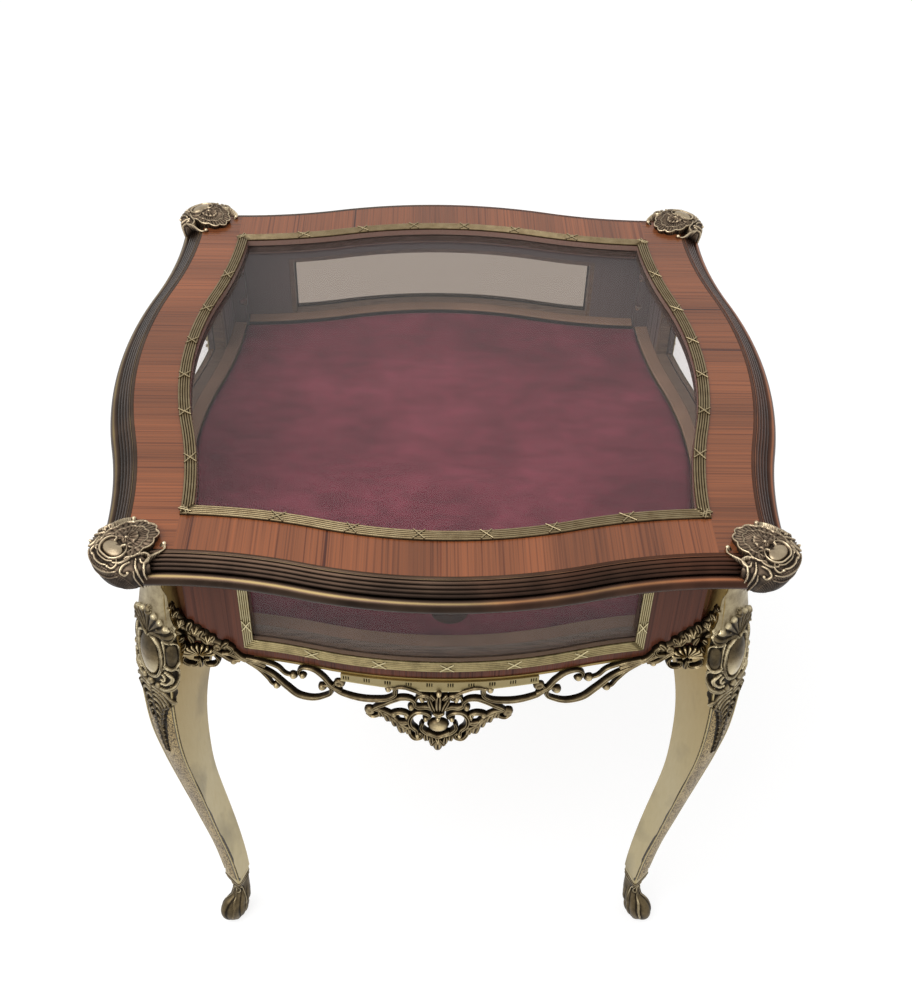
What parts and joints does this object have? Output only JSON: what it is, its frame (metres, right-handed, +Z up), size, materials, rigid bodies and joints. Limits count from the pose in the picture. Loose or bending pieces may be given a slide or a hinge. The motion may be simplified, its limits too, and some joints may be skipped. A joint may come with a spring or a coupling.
{
  "type": "collectors display table",
  "caption": "Square serpentine display table: glazed case on cabriole legs with brass mounts and a hinged, lockable glass lid over a velvet pad.",
  "frame": {"origin": "on the floor under the middle of the table", "axes": "+Z up, -Y to the front (the side with the lock), +X to the right as seen from the front"},
  "size_m": [0.772, 0.772, 0.7712],
  "materials": {
    "veneered_wood": "polished red-brown veneer",
    "board": "plain board",
    "bead_wood": "stained bead",
    "glass": "clear glass",
    "velvet": "burgundy velvet",
    "lining": "tan lining",
    "steel": "turned and filed steel",
    "dark_bronze": "patinated",
    "antique_brass": "polished high points, dark hollows"
  },
  "bodies": {
    "case": {"apron_back": "antique_brass", "apron_front": "antique_brass", "apron_left": "antique_brass", "apron_right": "antique_brass", "apron_screws": "steel", "base_board": "board", "case_edge_lines": "antique_brass", "case_wall_back": "veneered_wood", "case_wall_front": "veneered_wood", "case_wall_left": "veneered_wood", "case_wall_right": "veneered_wood", "corner_posts": "veneered_wood", "hinge_case_leaves": "antique_brass", "hinge_case_screws": "steel", "hinge_pins": "steel", "knee_mount_back_left": "antique_brass", "knee_mount_back_right": "antique_brass", "knee_mount_front_left": "antique_brass", "knee_mount_front_right": "antique_brass", "leg_back_left": "antique_brass", "leg_back_right": "antique_brass", "leg_bolts": "steel", "leg_front_left": "antique_brass", "leg_front_right": "antique_brass", "lock_case": "steel", "sabot_back_left": "antique_brass", "sabot_back_right": "antique_brass", "sabot_front_left": "antique_brass", "sabot_front_right": "antique_brass", "sill_lining": "lining", "velvet_pad": "velvet", "window_beads": "bead_wood", "window_glass_back": "glass", "window_glass_front": "glass", "window_glass_left": "glass", "window_glass_right": "glass", "window_reed_back": "antique_brass", "window_reed_front": "antique_brass", "window_reed_left": "antique_brass", "window_reed_right": "antique_brass"},
    "lid": {"corner_mount_back_left": "antique_brass", "corner_mount_back_right": "antique_brass", "corner_mount_front_left": "antique_brass", "corner_mount_front_right": "antique_brass", "edge_moulding_back": "dark_bronze", "edge_moulding_front": "dark_bronze", "edge_moulding_left": "dark_bronze", "edge_moulding_right": "dark_bronze", "hinge_lid_leaves": "antique_brass", "hinge_lid_screws": "steel", "lid_glass": "glass", "lid_glass_beads": "bead_wood", "lid_rail_back": "veneered_wood", "lid_rail_front": "veneered_wood", "lid_rail_left": "veneered_wood", "lid_rail_right": "veneered_wood", "lid_reed_frame": "antique_brass", "lock_keep": "steel"},
    "lock_bolt": {"lock_bolt": "steel"}
  },
  "joints": [
    {"name": "lid_hinge", "type": "hinge", "parent": "case", "child": "lid", "pos_m": [0, 0.3545, 0.73485], "axis": [-1, 0, 0], "range_deg": [0, 90]},
    {"name": "lock_bolt_slide", "type": "slide", "parent": "case", "child": "lock_bolt", "axis": [0, 0, 1], "range_m": [0, 0.006]}
  ]
}
